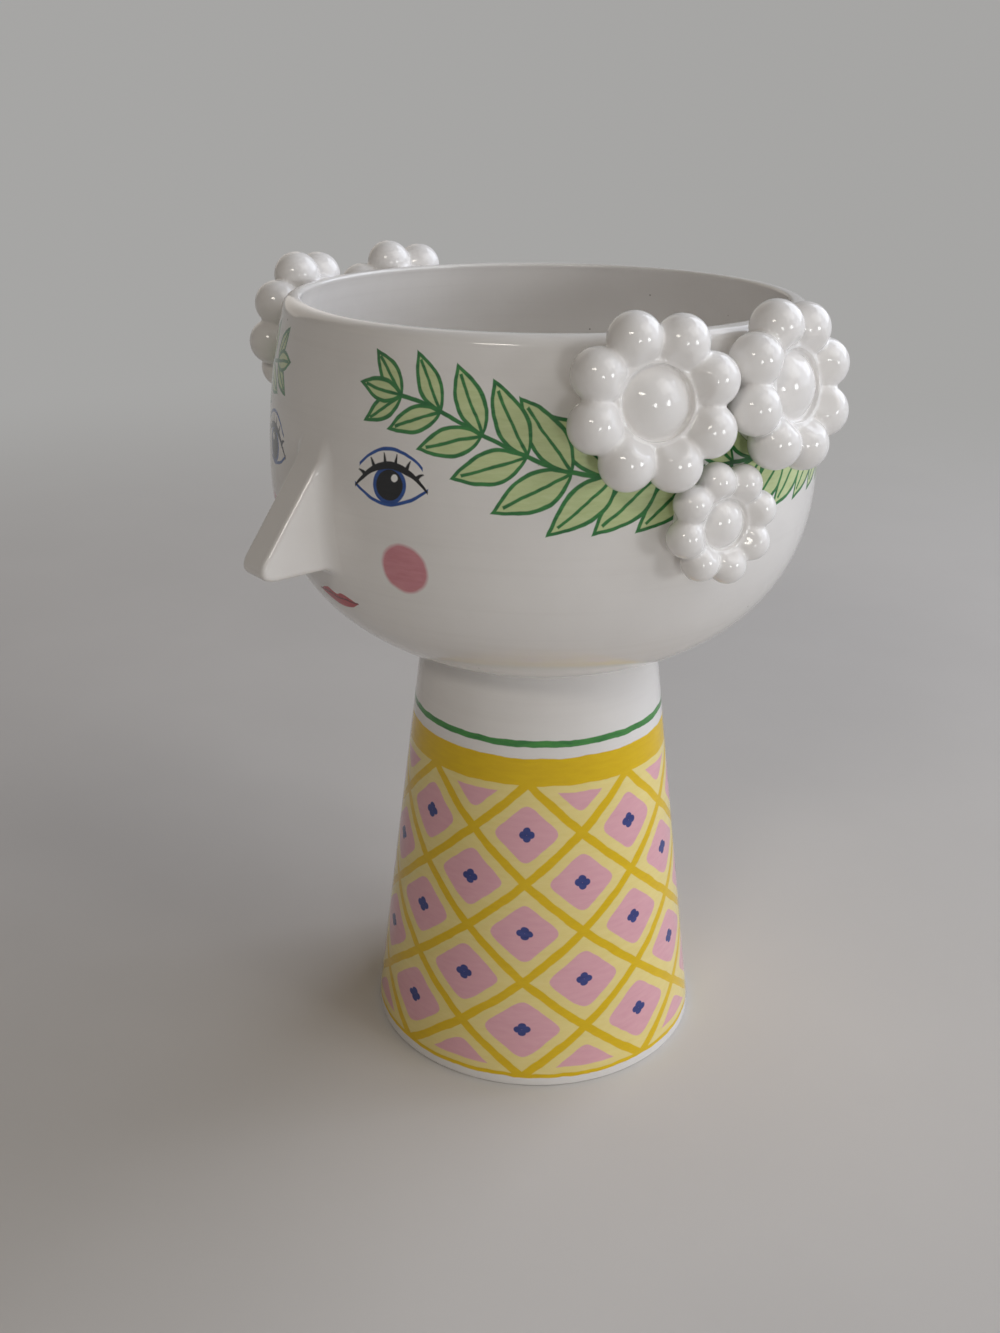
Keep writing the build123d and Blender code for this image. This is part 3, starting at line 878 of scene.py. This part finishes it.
def wreath_paint(tree, ground, along, up, brush):
    """Ground with the wreath over it, on one side of the head."""
    off_stem = add(tree, "Math SUBTRACT", up, stem_height(tree, along))
    stem = line_along(tree, STEM_HALF_WIDTH, off_stem, add(tree, "Math SUBTRACT", along, WREATH_START))
    paint = lay_paint(tree, ground, stem, DARK_GREEN, brush)
    steps = add(tree, "Math MULTIPLY_ADD", along, 1 / LEAF_STEP, CELL_SHIFT - WREATH_START / LEAF_STEP)
    cell = add(tree, "Math FLOOR", steps)
    pairs = [add(tree, "Math ADD", cell, later) for later in (2.0, 1.0, 0.0)]
    pairs = [add(tree, "Clamp", number, 0.0, LAST_PAIR) for number in pairs]
    for number, angle in [(number, LEAF_ANGLE) for number in pairs] + [(0.0, 0.0)]:
        base = add(tree, "Math MULTIPLY_ADD", number, LEAF_STEP, WREATH_START)
        forward, outward = leaf_axes(tree, along, up, base, angle)
        size = add(tree, "MapRange", base, *LEAF_GROWTH)
        length = add(tree, "Math MULTIPLY", size, LEAF_LENGTH)
        half_width = add(tree, "Math MULTIPLY", size, LEAF_HALF_WIDTH)
        leaf, rib = leaf_depths(tree, forward, outward, length, half_width)
        within = add(tree, "Math SUBTRACT", leaf, LEAF_EDGE)
        for depth, colours in ((leaf, DARK_GREEN), (within, PALE_GREEN), (rib, DARK_GREEN)):
            paint = lay_paint(tree, paint, depth, colours, brush)
    from_middle = from_point(tree, along, up, (math.pi * belly_radius, STEM_FALL[3]))
    for radius, colours in ((ROSETTE, MUSTARD), (ROSETTE_EYE, DARK_GREEN)):
        rosette = add(tree, "Math SUBTRACT", radius, from_middle)
        paint = lay_paint(tree, paint, rosette, colours, brush)
    return paint


print("each half of the wreath has", int(LAST_PAIR) + 1, "pairs of leaves")

# %% [markdown]
# The face is a calm one of plain proportions, painted like the rest: almond eyes with a dark lid line, a
# row of short even lashes and a dark iris ringed with blue, round pink cheeks and closed red lips. An
# eye's lids are two parabolas over its length, and all its lines are measured from them.

# %% Eyes
EYE_PLACE, EYE_HALF_LENGTH, EYE_TILT, LID_RISE, LID_DROP = (36.5, 254.0), 14.0, -0.05, 7.6, 5.4
IRIS, IRIS_PLACE, IRIS_RING, GLINT, GLINT_PLACE = 6.5, (0.0, 1.0), 1.3, 1.25, (2.0, 3.4)
CORNER_MARGIN, FINE_LINE, CREASE_GAP, CREASE_MARGIN = 0.5, 0.6, 1.2, 2.0
LASH, LASH_GAP, LASH_FAN, LASH_ROOT, LASH_TAPER, LASH_MARGIN = 4.2, 4.0, -0.75, 0.72, -0.14, 1.5
LID_CORNER, LID_SWELL = 0.55, 0.75
BLACK, BLUE, GLINT_WHITE = ("#161618", "#0A0A0C"), ("#2A58A4", "#1C4288"), ("#F2F2F0", "#F2F2F0")


def bow_over(tree, share):
    """1 at the middle of a line, falling on a parabola to 0 at its ends."""
    square = add(tree, "Math MULTIPLY", share, share)
    return add(tree, "Math MULTIPLY_ADD", square, -1.0, 1.0)


def lash_depth(tree, across, share, upper, within):
    """Millimetres inside the lashes, which fan out and taper from the upper lid."""
    lean = add(tree, "Math MULTIPLY", share, upper)
    fan = add(tree, "Math MULTIPLY_ADD", lean, LASH_FAN, across)
    shifted = add(tree, "Math ADD", fan, LASH_GAP / 2)
    spacing = add(tree, "Math PINGPONG", shifted, LASH_GAP / 2)
    thickness = add(tree, "Math MULTIPLY_ADD", upper, LASH_TAPER, LASH_ROOT)
    hair = add(tree, "Math SUBTRACT", thickness, spacing)
    before_tip = add(tree, "Math SUBTRACT", LASH, upper)
    hair = add(tree, "Math MINIMUM", hair, add(tree, "Math MINIMUM", upper, before_tip))
    limit = add(tree, "Math SUBTRACT", within, LASH_MARGIN)
    return add(tree, "Math MINIMUM", hair, limit)


def eye_paint(tree, ground, along, up, brush):
    """Ground with one eye over it."""
    across = add(tree, "Math SUBTRACT", along, EYE_PLACE[0])
    above = add(tree, "Math SUBTRACT", up, EYE_PLACE[1])
    level = add(tree, "Math MULTIPLY_ADD", across, EYE_TILT, above)
    share = add(tree, "Math MULTIPLY", across, 1 / EYE_HALF_LENGTH)
    bow = bow_over(tree, share)
    upper = add(tree, "Math SUBTRACT", level, add(tree, "Math MULTIPLY", bow, LID_RISE))
    lower = add(tree, "Math SUBTRACT", level, add(tree, "Math MULTIPLY", bow, -LID_DROP))
    below_lid = add(tree, "Math MULTIPLY", upper, -1.0)
    opening = add(tree, "Math MINIMUM", below_lid, lower)
    size = add(tree, "Math ABSOLUTE", across)
    within = add(tree, "Math SUBTRACT", EYE_HALF_LENGTH + CORNER_MARGIN, size)
    from_iris = from_point(tree, across, level, IRIS_PLACE)
    paint = ground
    for radius, colours in ((IRIS, BLUE), (IRIS - IRIS_RING, BLACK)):
        disc = add(tree, "Math SUBTRACT", radius, from_iris)
        disc = add(tree, "Math MINIMUM", disc, opening)
        paint = lay_paint(tree, paint, disc, colours, brush)
    glint = add(tree, "Math SUBTRACT", GLINT, from_point(tree, across, level, GLINT_PLACE))
    off_crease = add(tree, "Math SUBTRACT", upper, LASH + CREASE_GAP)
    crease = line_along(tree, FINE_LINE, off_crease, add(tree, "Math SUBTRACT", within, CREASE_MARGIN))
    lower_line = line_along(tree, FINE_LINE, lower, within)
    lid_width = add(tree, "Math MULTIPLY_ADD", bow, LID_SWELL, LID_CORNER)
    for depth, colours in ((glint, GLINT_WHITE), (crease, BLUE), (lower_line, BLUE),
                           (lash_depth(tree, across, share, upper, within), BLACK),
                           (line_along(tree, lid_width, upper, within), BLACK)):
        paint = lay_paint(tree, paint, depth, colours, brush)
    return paint


print("an eye is", 2 * EYE_HALF_LENGTH, "mm long and", LID_RISE + LID_DROP, "mm high")

# %% [markdown]
# Both lips are parabolas over the mouth's width, the upper one with a dip in its middle, and the line
# between them follows that dip. A cheek is one touch of a soft brush, so its edge is broader.

# %% Lips and cheeks
LIP_HEIGHT, LIP_HALF_WIDTH, UPPER_LIP, LOWER_LIP = 206.0, 12.5, 3.1, 3.9
DIP_HALF_WIDTH, DIP_SHARE = 4.5, 0.45
SEAM_RISE, SEAM_DROP, SEAM_LINE, SEAM_OVERHANG = 0.9, -0.7, 0.35, 0.6
LIP_RED, SEAM_RED = ("#C04A52", "#A93840"), ("#7E2730", "#6E2028")
CHEEK_PLACE, CHEEK_RADIUS, CHEEK_SOFTNESS, CHEEK_PINK = (41.0, 226.5), 8.8, 1.4, ("#D4929A", "#C9838C")


def lips_paint(tree, ground, along, up, brush):
    """Ground with the closed lips over it."""
    bow = bow_over(tree, add(tree, "Math MULTIPLY", along, 1 / LIP_HALF_WIDTH))
    level = add(tree, "Math SUBTRACT", up, LIP_HEIGHT)
    dip = add(tree, "MapRange", along, 0.0, DIP_HALF_WIDTH, DIP_SHARE, 1.0, interpolation_type="SMOOTHSTEP")
    peak = add(tree, "Math MULTIPLY", add(tree, "Math MULTIPLY", bow, UPPER_LIP), dip)
    top = add(tree, "Math SUBTRACT", peak, level)
    bottom = add(tree, "Math MULTIPLY_ADD", bow, LOWER_LIP, level)
    lips = add(tree, "Math MINIMUM", top, bottom)
    seam_height = add(tree, "Math MULTIPLY_ADD", dip, SEAM_RISE, SEAM_DROP)
    seam = line_along(tree, SEAM_LINE, add(tree, "Math SUBTRACT", seam_height, level),
                      add(tree, "Math SUBTRACT", LIP_HALF_WIDTH + SEAM_OVERHANG, along))
    return lay_paint(tree, lay_paint(tree, ground, lips, LIP_RED, brush), seam, SEAM_RED, brush)


def cheek_paint(tree, ground, along, up, brush):
    """Ground with a round cheek over it."""
    cheek = add(tree, "Math SUBTRACT", CHEEK_RADIUS, from_point(tree, along, up, CHEEK_PLACE))
    return lay_paint(tree, ground, cheek, CHEEK_PINK, brush, edge=CHEEK_SOFTNESS)


print("the mouth is", 2 * LIP_HALF_WIDTH, "mm wide, a cheek", 2 * CHEEK_RADIUS, "mm")

# %% [markdown]
# The head's paint goes on in this order: wreath, eyes, cheeks, lips. The distance round the wall is taken
# without its sign, so both sides are alike. Paint stops 6 mm below the rim, and the inside stays white.

# %% Head's glaze
UNPAINTED_LIP, LIP_FADE = 6.0, 0.4
head_glaze, tree, spot = new_glaze("painted_glaze_on_head")
way_round, up = round_the_wall(tree, wavering(tree, spot), belly_radius)
along = add(tree, "Math ABSOLUTE", way_round)
brush = brush_marks(tree, along, up)
ware = white_ware(tree, spot, LINE_COVER)
paint = ware
for paint_part in (wreath_paint, eye_paint, cheek_paint, lips_paint):
    paint = paint_part(tree, paint, along, up, brush)
paint_top = rim_height - UNPAINTED_LIP
below_lip = add(tree, "MapRange", up, paint_top, paint_top + LIP_FADE, 1.0, 0.0)
outer = add(tree, "Math MULTIPLY", outer_side(tree, spot), below_lip)
colour = add(tree, "Mix", outer, named={UNDER: ware, OVER: paint}, **AS_COLOUR)
glaze_over(tree, spot, colour, PAINTED_ROUGHNESS)
head.data.materials.append(head_glaze)
print("head paint nodes:", len(tree.nodes))
